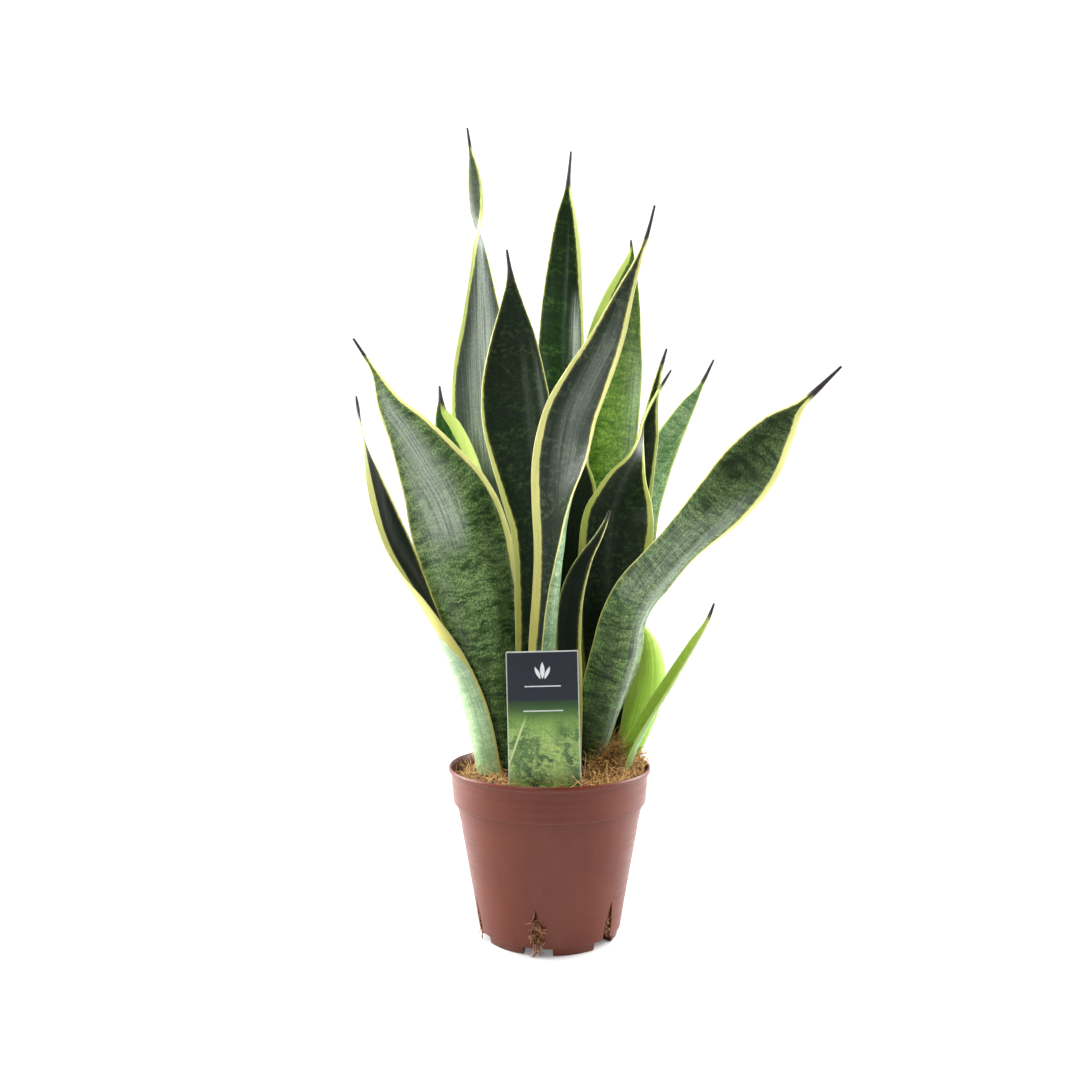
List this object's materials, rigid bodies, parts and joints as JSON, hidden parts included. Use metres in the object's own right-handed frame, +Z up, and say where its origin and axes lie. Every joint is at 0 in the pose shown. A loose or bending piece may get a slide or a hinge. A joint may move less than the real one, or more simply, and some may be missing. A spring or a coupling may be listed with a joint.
{
  "type": "potted snake plant",
  "caption": "Snake plant with upright, sword-shaped leaves edged in yellow, growing in compost in a tapered plastic nursery pot with a blank plant label.",
  "frame": {"origin": "middle of the pot's underside, on the pad under the pot's floor, level with the feet", "axes": "+Z up, -Y towards the side that the label faces, +X to the right when seen from that side"},
  "size_m": [0.2703, 0.1328, 0.4961],
  "materials": {
    "pot_plastic": "satin",
    "compost": "matte",
    "roots": "matte",
    "tag_card": "satin",
    "leaf": "satin"
  },
  "bodies": {
    "root": {"nursery_pot": "pot_plastic", "compost": "compost", "root_mat": "roots", "plant_tag": "tag_card", "leaf_far_left": "leaf", "leaf_big_left": "leaf", "leaf_tall_left": "leaf", "leaf_centre_left": "leaf", "leaf_tall_centre": "leaf", "leaf_sweeping": "leaf", "leaf_back_right": "leaf", "leaf_short_left": "leaf", "leaf_right_dark": "leaf", "leaf_right_inner": "leaf", "leaf_right_back": "leaf", "leaf_far_right": "leaf", "leaf_inner_dark": "leaf", "leaf_hidden": "leaf", "leaf_low_right": "leaf", "leaf_young_right": "leaf"}
  },
  "joints": []
}
